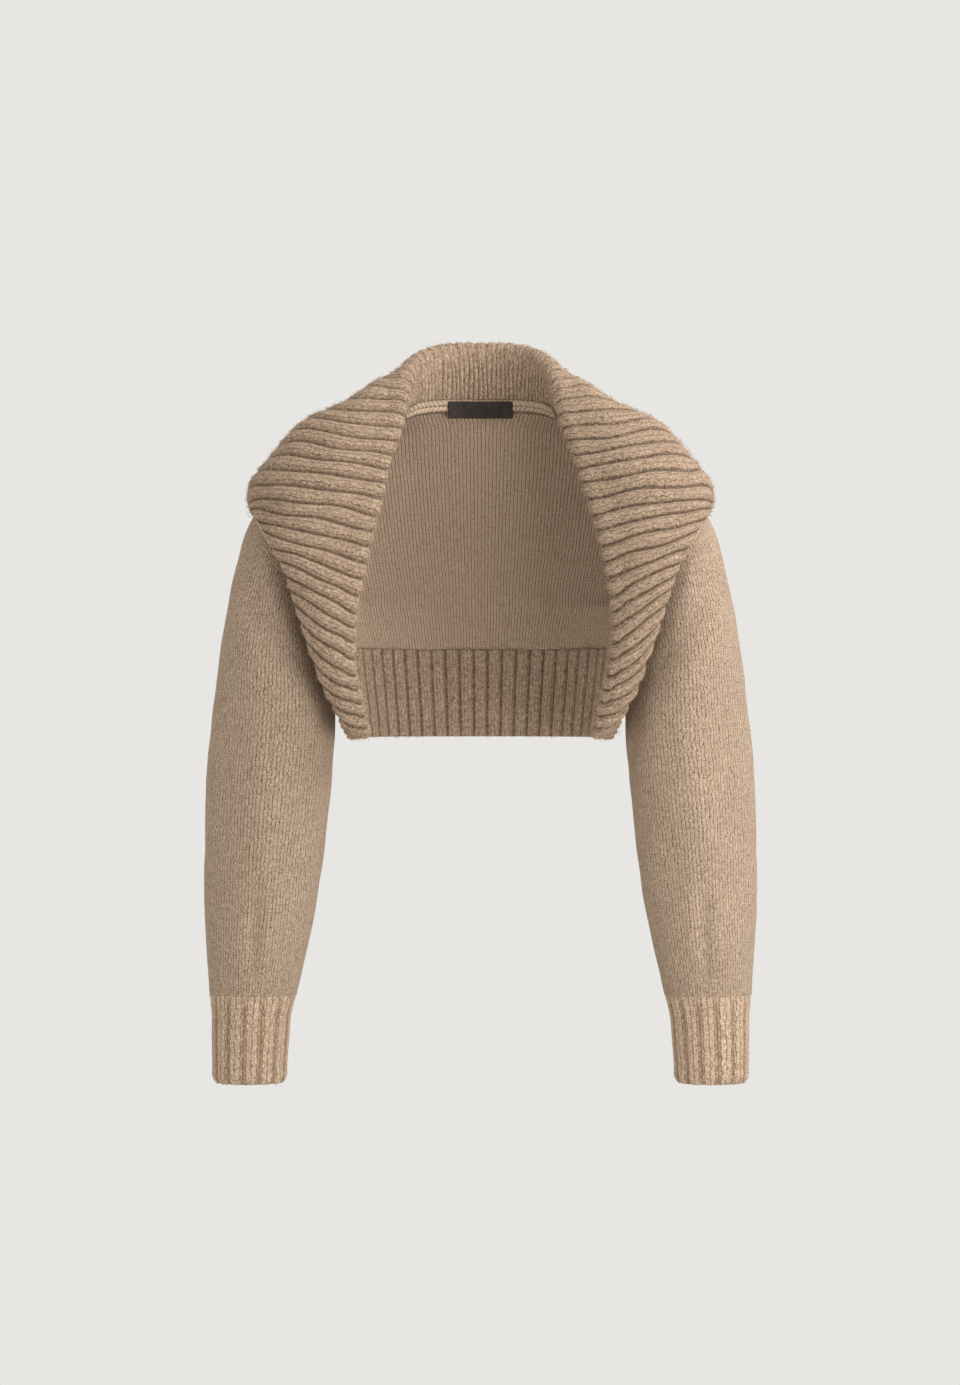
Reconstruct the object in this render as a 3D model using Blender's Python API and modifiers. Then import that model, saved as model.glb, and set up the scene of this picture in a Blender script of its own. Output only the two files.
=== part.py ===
"""Knit shrug: a cropped, long-sleeved knit with a wide folded rib collar, filled out as when worn.

Axes: +X is the wearer's left, -Y the front, +Z up. The origin is the nape, the middle of the back neck
seam, where the shrug hangs from its wearer. The tables are in millimetres; the mesh is in metres.
"""

import math

import bpy
import numpy as np

MM = 0.001

# Walls of the knitted cloth.
PLAIN_WALL = 3.0
RIB_WALL = 4.0
TAPE_WALL = 1.4
LABEL_WALL = 0.8
SEAM_GAP = 0.3

# Heights below the nape.
HEM_SEAM_Z = -248.0
HEM_Z = -337.0
CUFF_SEAM_Z = -591.0
CUFF_END_Z = -677.0

# Neck tape and label, inside the back neck seam.
TAPE_TOP, TAPE_BOTTOM = 8.0, -5.0
TAPE_RIBS = np.arange(-10.0, 11.0, 2.0)
LABEL_WIDTH, LABEL_TOP, LABEL_BOTTOM = 66.0, 6.5, -11.0

# Steps of the facets.
ROUND_STEPS = 20  # round an armhole, sleeve and cuff
ARM_STEPS = 20
CUFF_STEPS = 4
BACK_STEPS = 24
BODY_LOW_STEPS = 2  # below the armhole
FRONT_STEPS = 3
COLLAR_STEPS = 40
HEM_STEPS = 24
BAND_STEPS = 4

# The collar strip, half of it, in sections from the centre back round the neck and down the front to the
# side seam. rib: how many ribs lie between the centre back and the section. roll: radius of the fold.
# The stand rises from the seam to the fold, where the strip turns over.
STAND = [
    # rib, roll, seam, fold
    (0, 9, (0, 0, 0), (0, 9, 65)),
    (5, 9, (46, -14, -1), (50, -9, 59)),
    (7.5, 9, (64, -34, -4), (66, -36, 47)),
    (11, 9, (84, -54, -12), (74, -70, 15)),
    (14.5, 9, (102, -70, -24), (84, -94, -28)),
    (17.5, 8, (120, -98, -58), (98, -122, -70)),
    (19.5, 8, (127, -112, -88), (105, -136, -100)),
    (21.5, 8, (132, -122, -120), (114, -150, -132)),
    (23.5, 8, (137, -128, -152), (121, -160, -164)),
    (25.5, 8, (140, -132, -182), (127, -167, -198)),
    (27.5, 7, (141, -133, -208), (130, -170, -229)),
    (30.5, 6, (140, -131, -236), (127, -168, -275)),
    (32.5, 5, (139, -127, -246), (120, -161, -303)),
    (34.5, 4, (138, -120, -248), (115, -150, -328)),
    (36, 4, (138, -112, -248), (114, -134, -336)),
    (38, 0, (138, -102, -248), (122, -114, -331)),
    (40, 0, (137, -92, -248), (127, -92, -324)),
]
# The fall of the same sections, in the same order, from below the fold to the free edge.
FALL = [
    # brow, crest, drape, edge
    ((0, 21, 30), (0, 24, -10), (0, 27, -62), (0, 31, -118)),
    ((56, 6, 30), (61, 15, -10), (64, 22, -62), (64, 28, -118)),
    ((81, -16, 28), (90, 4, -8), (97, 16, -62), (97, 24, -118)),
    ((100, -64, 20), (126, -36, -4), (144, 0, -56), (138, 14, -117)),
    ((128, -106, -26), (172, -84, -21), (190, -36, -56), (180, -14, -115)),
    ((150, -134, -63), (196, -115, -56), (216, -70, -60), (208, -32, -111)),
    ((158, -150, -93), (204, -139, -84), (231, -86, -78), (224, -50, -109)),
    ((155, -160, -123), (190, -155, -116), (217, -134, -110), (232, -84, -107)),
    ((150, -170, -156), (176, -170, -149), (200, -163, -141), (219, -149, -133)),
    ((149, -177, -185), (167, -178, -177), (184, -174, -169), (199, -164, -163)),
    ((146, -179, -218), (161, -180, -208), (175, -177, -199), (188, -169, -191)),
    ((140, -176, -268), (152, -176, -260), (163, -173, -249), (172, -168, -237)),
    ((130, -168, -300), (139, -169, -295), (147, -167, -288), (154, -164, -281)),
    ((121, -156, -328), (128, -157, -325), (133, -155, -321), (137, -151, -316)),
    ((120, -142, -334), (125, -144, -332), (130, -144, -329), (134, -142, -325)),
    ((124, -116, -335), (126, -118, -337), (128, -119, -337), (130, -120, -335)),
    ((126.5, -92, -328), (126, -92, -331), (125.5, -92, -334), (125, -92, -337)),
]
SHOULDER_RIB, CORNER_RIB, SIDE_RIB = 10.0, 34.0, 40.0

# The left sleeve, seen from the front: each ring runs from its underside to its outer side, and its depth
# is the half thickness from front to back. The rings turn from the armhole to lie across the arm.
SLEEVE = [
    # inner (x, z), outer (x, z), middle y, half depth
    ((150, -205), (184, -50), -88, 51),
    ((153, -210), (204, -71), -88, 50),
    ((156, -216), (215, -97), -88, 50),
    ((158, -223), (232, -127), -88, 51),
    ((159, -233), (242, -162), -89, 54),
    ((157, -247), (250, -199), -91, 57),
    ((153, -266), (257, -239), -94, 60),
    ((148, -294), (263, -282), -96, 61),
    ((146, -330), (268, -324), -98, 60),
    ((149, -370), (272, -367), -100, 59),
    ((154, -420), (275, -419), -102, 58),
    ((160, -470), (275, -470), -106, 56),
    ((168, -520), (273, -520), -112, 52),
    ((176, -556), (270, -556), -118, 46),
    ((184, CUFF_SEAM_Z), (267, CUFF_SEAM_Z), -124, 37),
]
CUFF = [
    ((184, CUFF_SEAM_Z), (267, CUFF_SEAM_Z), -124, 37),
    ((188, -604), (266, -604), -125, 35),
    ((191, -636), (265, -636), -127, 34),
    ((193, -662), (264, -662), -128, 33),
    ((194, CUFF_END_Z), (263, CUFF_END_Z), -129, 32),
]

# The back panel, from the hem seam to the shoulders: its middle and how full it is towards the sides.
# place counts the ring steps up the armhole, from the underarm; below it, in steps down the side seam.
BACK_MIDDLE = [
    # place, middle y, middle z, fullness
    (-2, 14, HEM_SEAM_Z, 2.2),
    (0, 20, -203, 2.3),
    (4, 22, -145, 2.4),
    (6, 18, -92, 2.3),
    (8, 10, -45, 2.2),
    (10, 0, 0, 2.2),
]
UNDERARM, SHOULDER = 0, ROUND_STEPS // 2
HEM_SIDE = (137, -92, HEM_SEAM_Z)
HEM_BACK = [
    # x, y on the hem seam, y at the lower edge, x at the lower edge
    (0, 14, 6, 0),
    (60, 7, 0, 55),
    (104, -22, -25, 96),
    (129, -58, -58, 118),
    (137, -92, -92, 125),
]

CLOTH_COLOUR = (0.46, 0.33, 0.235, 1.0)
RIB_COLOUR = (0.42, 0.3, 0.21, 1.0)
LABEL_COLOUR = (0.045, 0.03, 0.028, 1.0)


def spline(points, times, at):
    """A smooth curve through the points, each reached at its time, read at the given times."""
    points = np.asarray(points, float)
    times = np.asarray(times, float)
    at = np.clip(np.atleast_1d(at), times[0], times[-1])
    slopes = np.gradient(points, times, axis=0)
    k = np.clip(np.searchsorted(times, at, side="right") - 1, 0, len(times) - 2)
    span = (times[k + 1] - times[k])[:, None]
    s = (at[:, None] - times[k][:, None]) / span
    start, end = points[k], points[k + 1]
    rise_start, rise_end = slopes[k] * span, slopes[k + 1] * span
    return (
        start * (2 * s**3 - 3 * s**2 + 1)
        + rise_start * (s**3 - 2 * s**2 + s)
        + end * (3 * s**2 - 2 * s**3)
        + rise_end * (s**3 - s**2)
    )


def along(section, roll, columns):
    """Points of one section. Column -1 is the seam, 0 the fold and 1 the edge, and those within 0.2 of 0 lie
    on the roll."""
    steps = np.linalg.norm(np.diff(section, axis=0), axis=1)
    times = np.concatenate([[0], np.cumsum(np.maximum(steps, 1e-6))])
    fold_time = times[FOLD_POINT]
    on_stand = min(1.6 * roll + 4, 0.3 * fold_time)
    on_fall = min(1.6 * roll + 4, 0.3 * (times[-1] - fold_time))
    marks = [0, fold_time - on_stand, fold_time, fold_time + on_fall, times[-1]]
    return spline(section, times, np.interp(columns, [-1, -0.2, 0, 0.2, 1], marks))


def unit(vector):
    return vector / np.linalg.norm(vector)


def collar_section(roll, seam, fold, brow, crest, drape, edge):
    """The points across the strip: up the stand, round the roll and down the fall."""
    fall = np.array([brow, crest, drape, edge], float)
    seam, fold = np.array(seam, float), np.array(fold, float)
    to_seam, to_brow = unit(seam - fold), unit(fall[0] - fold)
    if roll:
        down = unit(to_seam + to_brow)
        out = unit(to_brow - to_seam)
        reach = [(-1, 1), (-0.7, 0.3), (0, 0), (0.7, 0.3), (1, 1)]
        rolled = [fold + roll * (side * out + drop * down) for side, drop in reach]
    else:
        step = 0.3 * np.linalg.norm(fall[0] - fold)
        reach = (2 * to_seam, to_seam, 0 * to_seam, to_brow, 2 * to_brow)
        rolled = [fold + step * way for way in reach]
    stand = (seam + rolled[0]) / 2 - 2.0 * unit(to_brow - to_seam)
    return np.array([seam, stand, *rolled, *fall])


FOLD_POINT = 4  # where the fold lies in a section


def mirrored_rows(rows):
    """The half table's sections, with their mirror images before them."""
    flip = np.array([-1, 1, 1])
    return [section * flip for section in rows[:0:-1]] + list(rows)


def collar_at(ribs, columns):
    """Points of the collar's middle surface: rows at these rib counts, columns from seam to edge."""
    sections = np.array(mirrored_rows([collar_section(*row[1:], *fall) for row, fall in zip(STAND, FALL)]))
    counts = np.array([-row[0] for row in STAND[:0:-1]] + [row[0] for row in STAND])
    rows = spline(sections.reshape(len(sections), -1), counts, ribs).reshape(len(ribs), -1, 3)
    rolls = np.interp(np.abs(ribs), [row[0] for row in STAND], [row[1] for row in STAND])
    return np.array([along(row, roll, columns) for row, roll in zip(rows, rolls)])


def neckline(ribs):
    """The seam between collar and body, at these rib counts."""
    return collar_at(ribs, [-1.0])[:, 0]


def ring(inner, outer, middle_y, half_depth):
    """One ring of a sleeve, from its underside round by the back, outer side and front."""
    centre = np.array([(inner[0] + outer[0]) / 2, middle_y, (inner[1] + outer[1]) / 2])
    half = np.array([(outer[0] - inner[0]) / 2, 0, (outer[1] - inner[1]) / 2])
    turns = np.arange(ROUND_STEPS) * 2 * math.pi / ROUND_STEPS
    depth = np.array([0, half_depth, 0])
    return centre - np.cos(turns)[:, None] * half + np.sin(turns)[:, None] * depth


def tube(table, steps):
    """Rings through a table's rings, evenly along the tube."""
    rings = np.array([ring(*row) for row in table])
    middles = rings.mean(axis=1)
    lengths = np.linalg.norm(np.diff(middles, axis=0), axis=1)
    times = np.concatenate([[0], np.cumsum(lengths)])
    flat = spline(rings.reshape(len(rings), -1), times, np.linspace(0, times[-1], steps + 1))
    return flat.reshape(steps + 1, ROUND_STEPS, 3)


def armhole():
    """The armhole's points: from the underarm up the back to the shoulder, then down the front."""
    return ring(*SLEEVE[0])


def shoulder_seam(shares):
    """The seam from the neck point to the shoulder point."""
    neck = neckline([SHOULDER_RIB])[0]
    return neck + np.outer(shares, armhole()[SHOULDER] - neck)


def trimmed(grid, first=0.0, last=0.0, left=0.0, right=0.0):
    """The sheet with its edges drawn back by these widths, for the seams."""
    grid = np.array(grid)
    for edge, inner, width in ((0, 1, first), (-1, -2, last)):
        grid[edge] += lengths_along(grid[inner] - grid[edge], width)
    for edge, inner, width in ((0, 1, left), (-1, -2, right)):
        grid[:, edge] += lengths_along(grid[:, inner] - grid[:, edge], width)
    return grid


def lengths_along(steps, width):
    """Steps in the same directions, of this length, or of these lengths."""
    return steps / np.linalg.norm(steps, axis=1, keepdims=True) * np.reshape(width, (-1, 1))


def cloth(name, grid, wall, material, closed=False):
    """A piece of cloth: a sheet, or a tube when closed, through rows of points, given its wall."""
    rows, columns = grid.shape[:2]
    turns = columns if closed else columns - 1
    faces = []
    for r in range(rows - 1):
        for c in range(turns):
            nxt = (c + 1) % columns
            faces.append((r * columns + c, r * columns + nxt, (r + 1) * columns + nxt, (r + 1) * columns + c))
    mesh = bpy.data.meshes.new(name)
    mesh.from_pydata([tuple(p) for p in grid.reshape(-1, 3) * MM], [], faces)
    mesh.materials.append(material)
    mesh.shade_smooth()
    piece = bpy.data.objects.new(name, mesh)
    SHRUG.objects.link(piece)
    facets = piece.modifiers.new("facets", "TRIANGULATE")
    facets.quad_method = "SHORTEST_DIAGONAL"
    solid = piece.modifiers.new("wall", "SOLIDIFY")
    solid.thickness = wall * MM
    solid.offset = 0.0
    return piece


def yarn(name, colour, roughness):
    """A plain material of this colour."""
    material = bpy.data.materials.new(name)
    material.use_nodes = True
    shader = material.node_tree.nodes["Principled BSDF"]
    shader.inputs["Base Color"].default_value = colour
    shader.inputs["Roughness"].default_value = roughness
    shader.inputs["Metallic"].default_value = 0.0
    return material


def make_collar():
    """The folded rib strip, from side seam to side seam round the back of the neck."""
    ribs = np.linspace(-SIDE_RIB, SIDE_RIB, COLLAR_STEPS + 1)
    stand, roll, fall = np.linspace(-1, -0.2, 4), [-0.1, 0, 0.1], np.linspace(0.2, 1, 10)
    grid = collar_at(ribs, np.concatenate([stand, roll, fall]))
    # The seam turns sharply on the fronts, so it is drawn back further there.
    seam_trim = np.where(np.abs(ribs) < SHOULDER_RIB, 0.9, 1.7)
    cloth("collar", trimmed(grid, 1.0, 1.0, left=seam_trim), RIB_WALL, yarn("collar_rib", RIB_COLOUR, 0.95))


def back_row(place):
    """One row of the back panel from side to side. place counts armhole points above the underarm."""
    table = np.array(BACK_MIDDLE, float)
    middle_y, middle_z, fullness = spline(table[:, 1:], table[:, 0], place)[0]
    if place >= UNDERARM:
        side = armhole()[place]
    else:
        share = place / BACK_MIDDLE[0][0]
        side = armhole()[UNDERARM] * (1 - share) + np.array(HEM_SIDE) * share
    turns = np.linspace(-1, 1, BACK_STEPS + 1)
    x = side[0] * turns
    y = side[1] + (middle_y - side[1]) * (1 - np.abs(turns) ** fullness) ** (1 / fullness * 1.1)
    z = middle_z + (side[2] - middle_z) * np.abs(turns) ** 2
    return np.stack([x, y, z], axis=1)


def make_back():
    """The back panel, from the hem seam to the neck and shoulder seams."""
    rows = [back_row(place) for place in range(-BODY_LOW_STEPS, SHOULDER)]
    neck = neckline(np.arange(-SHOULDER_RIB, SHOULDER_RIB + 1, 2))
    seam = shoulder_seam(np.linspace(0, 1, (BACK_STEPS + 1 - len(neck)) // 2 + 1))[1:]
    rows.append(np.concatenate([(seam * [-1, 1, 1])[::-1], neck, seam]))
    grid = trimmed(rows, 0.4, 0.6, 1.2, 1.2)
    cloth("back", grid, PLAIN_WALL, yarn("back_knit", CLOTH_COLOUR, 0.95))


def make_front(name, side):
    """One narrow front panel, from the shoulder seam to the hem seam, between armhole and collar."""
    places = list(range(SHOULDER, ROUND_STEPS)) + [ROUND_STEPS, ROUND_STEPS + 1, ROUND_STEPS + 2]
    outer = [armhole()[place % ROUND_STEPS] for place in places[: SHOULDER + 1]]
    outer += [(outer[-1] + np.array(HEM_SIDE)) / 2, np.array(HEM_SIDE, float)]
    inner = neckline(np.linspace(SHOULDER_RIB, CORNER_RIB, len(outer)))
    shares = np.linspace(0, 1, FRONT_STEPS + 1)
    rows = []
    for k, (start, end) in enumerate(zip(inner, outer)):
        bulge = 7.0 * math.sin(math.pi * min(1.0, k / SHOULDER))
        forward = np.array([0, -bulge, 0])
        rows.append([start + (end - start) * s + forward * math.sin(math.pi * s) for s in shares])
    grid = trimmed(rows, 1.1, SEAM_GAP, 1.9, 0.6)
    cloth(name, grid * [side, 1, 1], PLAIN_WALL, yarn(name + "_knit", CLOTH_COLOUR, 0.95))


def make_sleeve(name, side):
    """One sleeve, from the armhole to the cuff seam."""
    grid = tube(SLEEVE, ARM_STEPS)
    # The wall stands clear of the body's: more under the arm, where both hang side by side.
    turns = np.arange(ROUND_STEPS) * 2 * math.pi / ROUND_STEPS
    out = unit(np.array([0.97, 0, -0.22]))
    grid[0] += np.outer(0.7 + 2.9 * np.cos(turns / 2) ** 4, out)
    grid = trimmed(grid, last=SEAM_GAP / 2)
    cloth(name, grid * [side, 1, 1], PLAIN_WALL, yarn(name + "_knit", CLOTH_COLOUR, 0.95), closed=True)


def make_cuff(name, side):
    """One rib cuff, open at the wrist."""
    grid = trimmed(tube(CUFF, CUFF_STEPS), first=0.5)
    cloth(name, grid * [side, 1, 1], RIB_WALL, yarn(name + "_rib", RIB_COLOUR, 0.95), closed=True)


def make_hem_band():
    """The rib band along the back hem, from side seam to side seam."""
    table = np.array(HEM_BACK, float)
    times = table[:, 0] + np.abs(table[:, 1] - table[0, 1]) * 0.6
    half = spline(table, times, np.linspace(0, times[-1], HEM_STEPS // 2 + 1))
    full = np.concatenate([half[:0:-1] * [-1, 1, 1, -1], half])
    rows = []
    for share in np.linspace(0, 1, BAND_STEPS + 1):
        x = full[:, 0] + (full[:, 3] - full[:, 0]) * share
        y = full[:, 1] + (full[:, 2] - full[:, 1]) * share
        z = np.full(len(full), HEM_SEAM_Z + (HEM_Z - HEM_SEAM_Z) * share)
        rows.append(np.stack([x, y, z], axis=1))
    grid = trimmed(rows, SEAM_GAP, 0, SEAM_GAP, SEAM_GAP)
    cloth("hem_band", grid, RIB_WALL, yarn("hem_rib", RIB_COLOUR, 0.95))


def neck_strip(ribs, top, bottom, inward, steps):
    """A strip inside the back neck seam, this far in from the walls: up the stand and down the back."""
    seam, up_stand = collar_at(TAPE_RIBS, [-1.0, -0.6]).transpose(1, 0, 2)
    rise = np.array([unit(step) for step in up_stand - seam])
    inwards = np.array([unit(np.cross(step, up)) for up, step in zip(rise, np.gradient(seam, axis=0))])
    rows = []
    for height in np.linspace(top, bottom, steps + 1):
        way = rise if height > 0 else np.array([[0, 0, 1.0]] * len(TAPE_RIBS))
        row = seam + way * height + inwards * inward
        rows.append(np.stack([np.interp(ribs, TAPE_RIBS, row[:, axis]) for axis in range(3)], axis=1))
    return np.array(rows)


def make_neck_tape():
    """The chain band linked over the neck seam."""
    inward = RIB_WALL / 2 + SEAM_GAP + TAPE_WALL / 2 + 0.5
    grid = neck_strip(TAPE_RIBS, TAPE_TOP, TAPE_BOTTOM, inward, 2)
    cloth("neck_tape", grid, TAPE_WALL, yarn("tape_chain", RIB_COLOUR, 0.95))


def make_label():
    """The blank woven label, sewn on the tape."""
    half_ribs = float(np.interp(LABEL_WIDTH / 2 + 1, neckline(TAPE_RIBS)[:, 0], TAPE_RIBS))
    inward = RIB_WALL / 2 + 2 * SEAM_GAP + TAPE_WALL + LABEL_WALL / 2 + 0.55
    ribs = np.concatenate([[-half_ribs], TAPE_RIBS[np.abs(TAPE_RIBS) < half_ribs], [half_ribs]])
    grid = neck_strip(ribs, LABEL_TOP, LABEL_BOTTOM, inward, 2)
    cloth("label", grid, LABEL_WALL, yarn("label_weave", LABEL_COLOUR, 0.7))


for old in list(bpy.data.objects):
    bpy.data.objects.remove(old)
SHRUG = bpy.data.collections.new("knit_shrug")
bpy.context.scene.collection.children.link(SHRUG)

make_collar()
make_back()
make_hem_band()
make_neck_tape()
make_label()
for side_name, side_sign in (("left", 1), ("right", -1)):
    make_front("front_" + side_name, side_sign)
    make_sleeve("sleeve_" + side_name, side_sign)
    make_cuff("cuff_" + side_name, side_sign)
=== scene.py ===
"""Looks of the knit shrug: camel yarn, a wide rib collar folded over the shoulders, plain knit body and
sleeves, rib cuffs and hem band. Axes and places are the frame's; the tables are in millimetres."""

import math

import bpy
import numpy as np
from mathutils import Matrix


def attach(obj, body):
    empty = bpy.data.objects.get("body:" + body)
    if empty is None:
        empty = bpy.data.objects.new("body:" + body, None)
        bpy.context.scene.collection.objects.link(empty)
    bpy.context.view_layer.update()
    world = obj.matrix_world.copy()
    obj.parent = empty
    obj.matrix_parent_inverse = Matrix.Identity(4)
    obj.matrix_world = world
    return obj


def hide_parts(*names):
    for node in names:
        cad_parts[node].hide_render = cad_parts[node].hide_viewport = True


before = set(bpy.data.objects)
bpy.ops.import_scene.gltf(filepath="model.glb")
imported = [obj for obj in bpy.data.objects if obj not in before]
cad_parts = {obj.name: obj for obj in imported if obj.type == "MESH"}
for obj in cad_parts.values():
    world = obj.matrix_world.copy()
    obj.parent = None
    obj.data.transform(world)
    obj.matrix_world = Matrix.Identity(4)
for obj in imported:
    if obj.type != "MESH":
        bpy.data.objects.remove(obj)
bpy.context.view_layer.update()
MM = 0.001

# ------------------------------------------------------------
# Camera. The photograph is taken level, from straight ahead, at half the shrug's height. The camera stands
# 3.6 m before the plane in which one millimetre fills one pixel.
PLANE_TO_CAMERA = 3.6
PICTURE_HEIGHT = 1.385
CAMERA_PLACE = (-0.0005, -3.695, -0.292)
SENSOR_HEIGHT = 24.0

lens = bpy.data.cameras.new("camera")
lens.sensor_fit = "VERTICAL"
lens.sensor_height = SENSOR_HEIGHT
lens.lens = SENSOR_HEIGHT * PLANE_TO_CAMERA / PICTURE_HEIGHT
lens.clip_end = 30.0
camera = bpy.data.objects.new("camera", lens)
camera.location = CAMERA_PLACE
camera.rotation_euler = (math.radians(90), 0, 0)
bpy.context.scene.collection.objects.link(camera)
bpy.context.scene.camera = camera

# ------------------------------------------------------------
# Collar. One long strip of deep rib knit in fuzzy camel yarn, linked to the neck and the front edges and
# folded over along its middle: the stand rises to the fold and the fall lies on the shoulders, its free
# edge bound off. The tables are the frame's sections, from the centre back to the side seam.
STAND = [
    # rib, roll, seam, fold
    (0, 9, (0, 0, 0), (0, 9, 65)),
    (5, 9, (46, -14, -1), (50, -9, 59)),
    (7.5, 9, (64, -34, -4), (66, -36, 47)),
    (11, 9, (84, -54, -12), (74, -70, 15)),
    (14.5, 9, (102, -70, -24), (84, -94, -28)),
    (17.5, 8, (120, -98, -58), (98, -122, -70)),
    (19.5, 8, (127, -112, -88), (105, -136, -100)),
    (21.5, 8, (132, -122, -120), (114, -150, -132)),
    (23.5, 8, (137, -128, -152), (121, -160, -164)),
    (25.5, 8, (140, -132, -182), (127, -167, -198)),
    (27.5, 7, (141, -133, -208), (130, -170, -229)),
    (30.5, 6, (140, -131, -236), (127, -168, -275)),
    (32.5, 5, (139, -127, -246), (120, -161, -303)),
    (34.5, 4, (138, -120, -248), (115, -150, -325)),
    (36, 4, (138, -112, -248), (114, -134, -332)),
    (38, 0, (138, -102, -248), (122, -114, -329)),
    (40, 0, (137, -92, -248), (127, -92, -324)),
]
FALL = [
    # brow, crest, drape, edge
    ((0, 21, 30), (0, 24, -10), (0, 27, -62), (0, 31, -118)),
    ((56, 6, 30), (61, 15, -10), (64, 22, -62), (64, 28, -118)),
    ((81, -16, 28), (90, 4, -8), (97, 16, -62), (97, 24, -118)),
    ((100, -64, 20), (126, -36, -4), (144, 0, -56), (138, 14, -117)),
    ((128, -106, -26), (172, -84, -21), (190, -36, -56), (180, -14, -115)),
    ((150, -134, -63), (195, -115, -58), (212, -70, -65), (206, -32, -112)),
    ((158, -150, -93), (202, -139, -89), (229, -86, -91), (222, -50, -112)),
    ((155, -160, -123), (190, -155, -117), (216, -134, -112), (229, -84, -107)),
    ((150, -170, -156), (175, -170, -149), (198, -163, -141), (215.5, -149, -134)),
    ((149, -177, -185), (166, -178, -177), (182, -174, -169), (196, -164, -163)),
    ((146, -179, -218), (160, -180, -208), (173, -177, -199), (185, -169, -191)),
    ((140, -176, -268), (151, -176, -260), (161, -173, -249), (169, -168, -237)),
    ((130, -168, -300), (139, -169, -295), (147, -167, -288), (154, -164, -281)),
    ((121, -156, -325), (128, -157, -322), (133, -155, -318), (137, -151, -314)),
    ((120, -142, -330), (125, -144, -328), (130, -144, -325), (134, -142, -322)),
    ((124, -116, -332), (126, -118, -333), (128, -119, -333), (130, -120, -332)),
    ((126.5, -92, -328), (126, -92, -331), (125.5, -92, -334), (125, -92, -337)),
]
FOLD_POINT = 4  # where the fold lies in a section
ROLL = 0.2  # columns on either side of the fold that lie on its roll
BOUND_OFF = 0.965  # the column where the free edge's binding starts
SIDE_RIB = 40.0
SAMPLES_PER_RIB = 8
COLLAR_WALL = 3.4
COLLAR_RIB_HEIGHT = 3.9
STAND_RIB_HEIGHT = 1.3
SCALLOP, SCALLOP_REACH = 0.5, 9.0  # how far the ribs' ends stand out along the free edge, and fade from it
NECK_RIBS, NECK_FADE = 14, 6  # to a side: the ribs behind the neck, and those over which that ends
COURSE = 3.6  # length of one stitch
FALL_WALES, STAND_WALES = 3, 2  # stitches across a rib
CAMEL_DARK = (0.052, 0.028, 0.016)
CAMEL_MID = (0.26, 0.171, 0.107)
CAMEL_PALE = (0.55, 0.415, 0.305)
HAIR_WAYS = [
    # turn, stretch of the fibres' pattern, which lies every way
    ((0.4, 0.9, 0.2), (900, 900, 90)),
    ((1.2, 0.3, 0.9), (800, 80, 800)),
    ((0.2, 0.5, 1.9), (85, 850, 850)),
]
HAIR_BRIGHT = 1.15  # loose hairs beside the palest yarn
BUMP_DEPTH = 0.5
FINE_GROOVE = 1.8  # how round the stand's narrow ribs are
FOLD_LEAN = 5.0  # how far the folds hang towards +X, about these ribs and columns
LEAN_RIB, LEAN_RIBS, LEAN_COLUMNS = 23, 7, 0.4
WELD = 2e-6  # metres; joins a wall's two faces along their rim
FLATTER_RIBS = [(11, 0.42), (-10, 0.2)]  # rib, share of the ribs' height lost about it
EDGE_ROWS = [0.978, 0.99, 1.0]  # the last rows before a free edge, which the cloth thins to
COLLAR_EDGE = (0.95, 0.78, 0.35)  # its thickness there


def spline(points, times, at):
    """A smooth curve through the points, each reached at its time, read at the given times."""
    points = np.asarray(points, float)
    times = np.asarray(times, float)
    at = np.clip(np.atleast_1d(at), times[0], times[-1])
    slopes = np.gradient(points, times, axis=0)
    k = np.clip(np.searchsorted(times, at, side="right") - 1, 0, len(times) - 2)
    span = (times[k + 1] - times[k])[:, None]
    s = (at[:, None] - times[k][:, None]) / span
    start, end = points[k], points[k + 1]
    rise_start, rise_end = slopes[k] * span, slopes[k + 1] * span
    return (
        start * (2 * s**3 - 3 * s**2 + 1)
        + rise_start * (s**3 - 2 * s**2 + s)
        + end * (3 * s**2 - 2 * s**3)
        + rise_end * (s**3 - s**2)
    )


def unit(vector):
    return vector / np.linalg.norm(vector)


def collar_section(roll, seam, fold, brow, crest, drape, edge):
    """The points across the strip: up the stand, round the roll and down the fall."""
    fall = np.array([brow, crest, drape, edge], float)
    seam, fold = np.array(seam, float), np.array(fold, float)
    to_seam, to_brow = unit(seam - fold), unit(fall[0] - fold)
    if roll:
        down = unit(to_seam + to_brow)
        out = unit(to_brow - to_seam)
        reach = [(-1, 1), (-0.7, 0.3), (0, 0), (0.7, 0.3), (1, 1)]
        rolled = [fold + roll * (side * out + drop * down) for side, drop in reach]
    else:
        step = 0.3 * np.linalg.norm(fall[0] - fold)
        reach = (2 * to_seam, to_seam, 0 * to_seam, to_brow, 2 * to_brow)
        rolled = [fold + step * way for way in reach]
    stand = (seam + rolled[0]) / 2 - 2.0 * unit(to_brow - to_seam)
    return np.array([seam, stand, *rolled, *fall])


def along(section, roll, columns):
    """Points of one section. Column -1 is the seam, 0 the fold and 1 the edge."""
    steps = np.linalg.norm(np.diff(section, axis=0), axis=1)
    times = np.concatenate([[0], np.cumsum(np.maximum(steps, 1e-6))])
    fold_time = times[FOLD_POINT]
    on_stand = min(1.6 * roll + 4, 0.3 * fold_time)
    on_fall = min(1.6 * roll + 4, 0.3 * (times[-1] - fold_time))
    marks = [0, fold_time - on_stand, fold_time, fold_time + on_fall, times[-1]]
    return spline(section, times, np.interp(columns, [-1, -ROLL, 0, ROLL, 1], marks))


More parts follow.
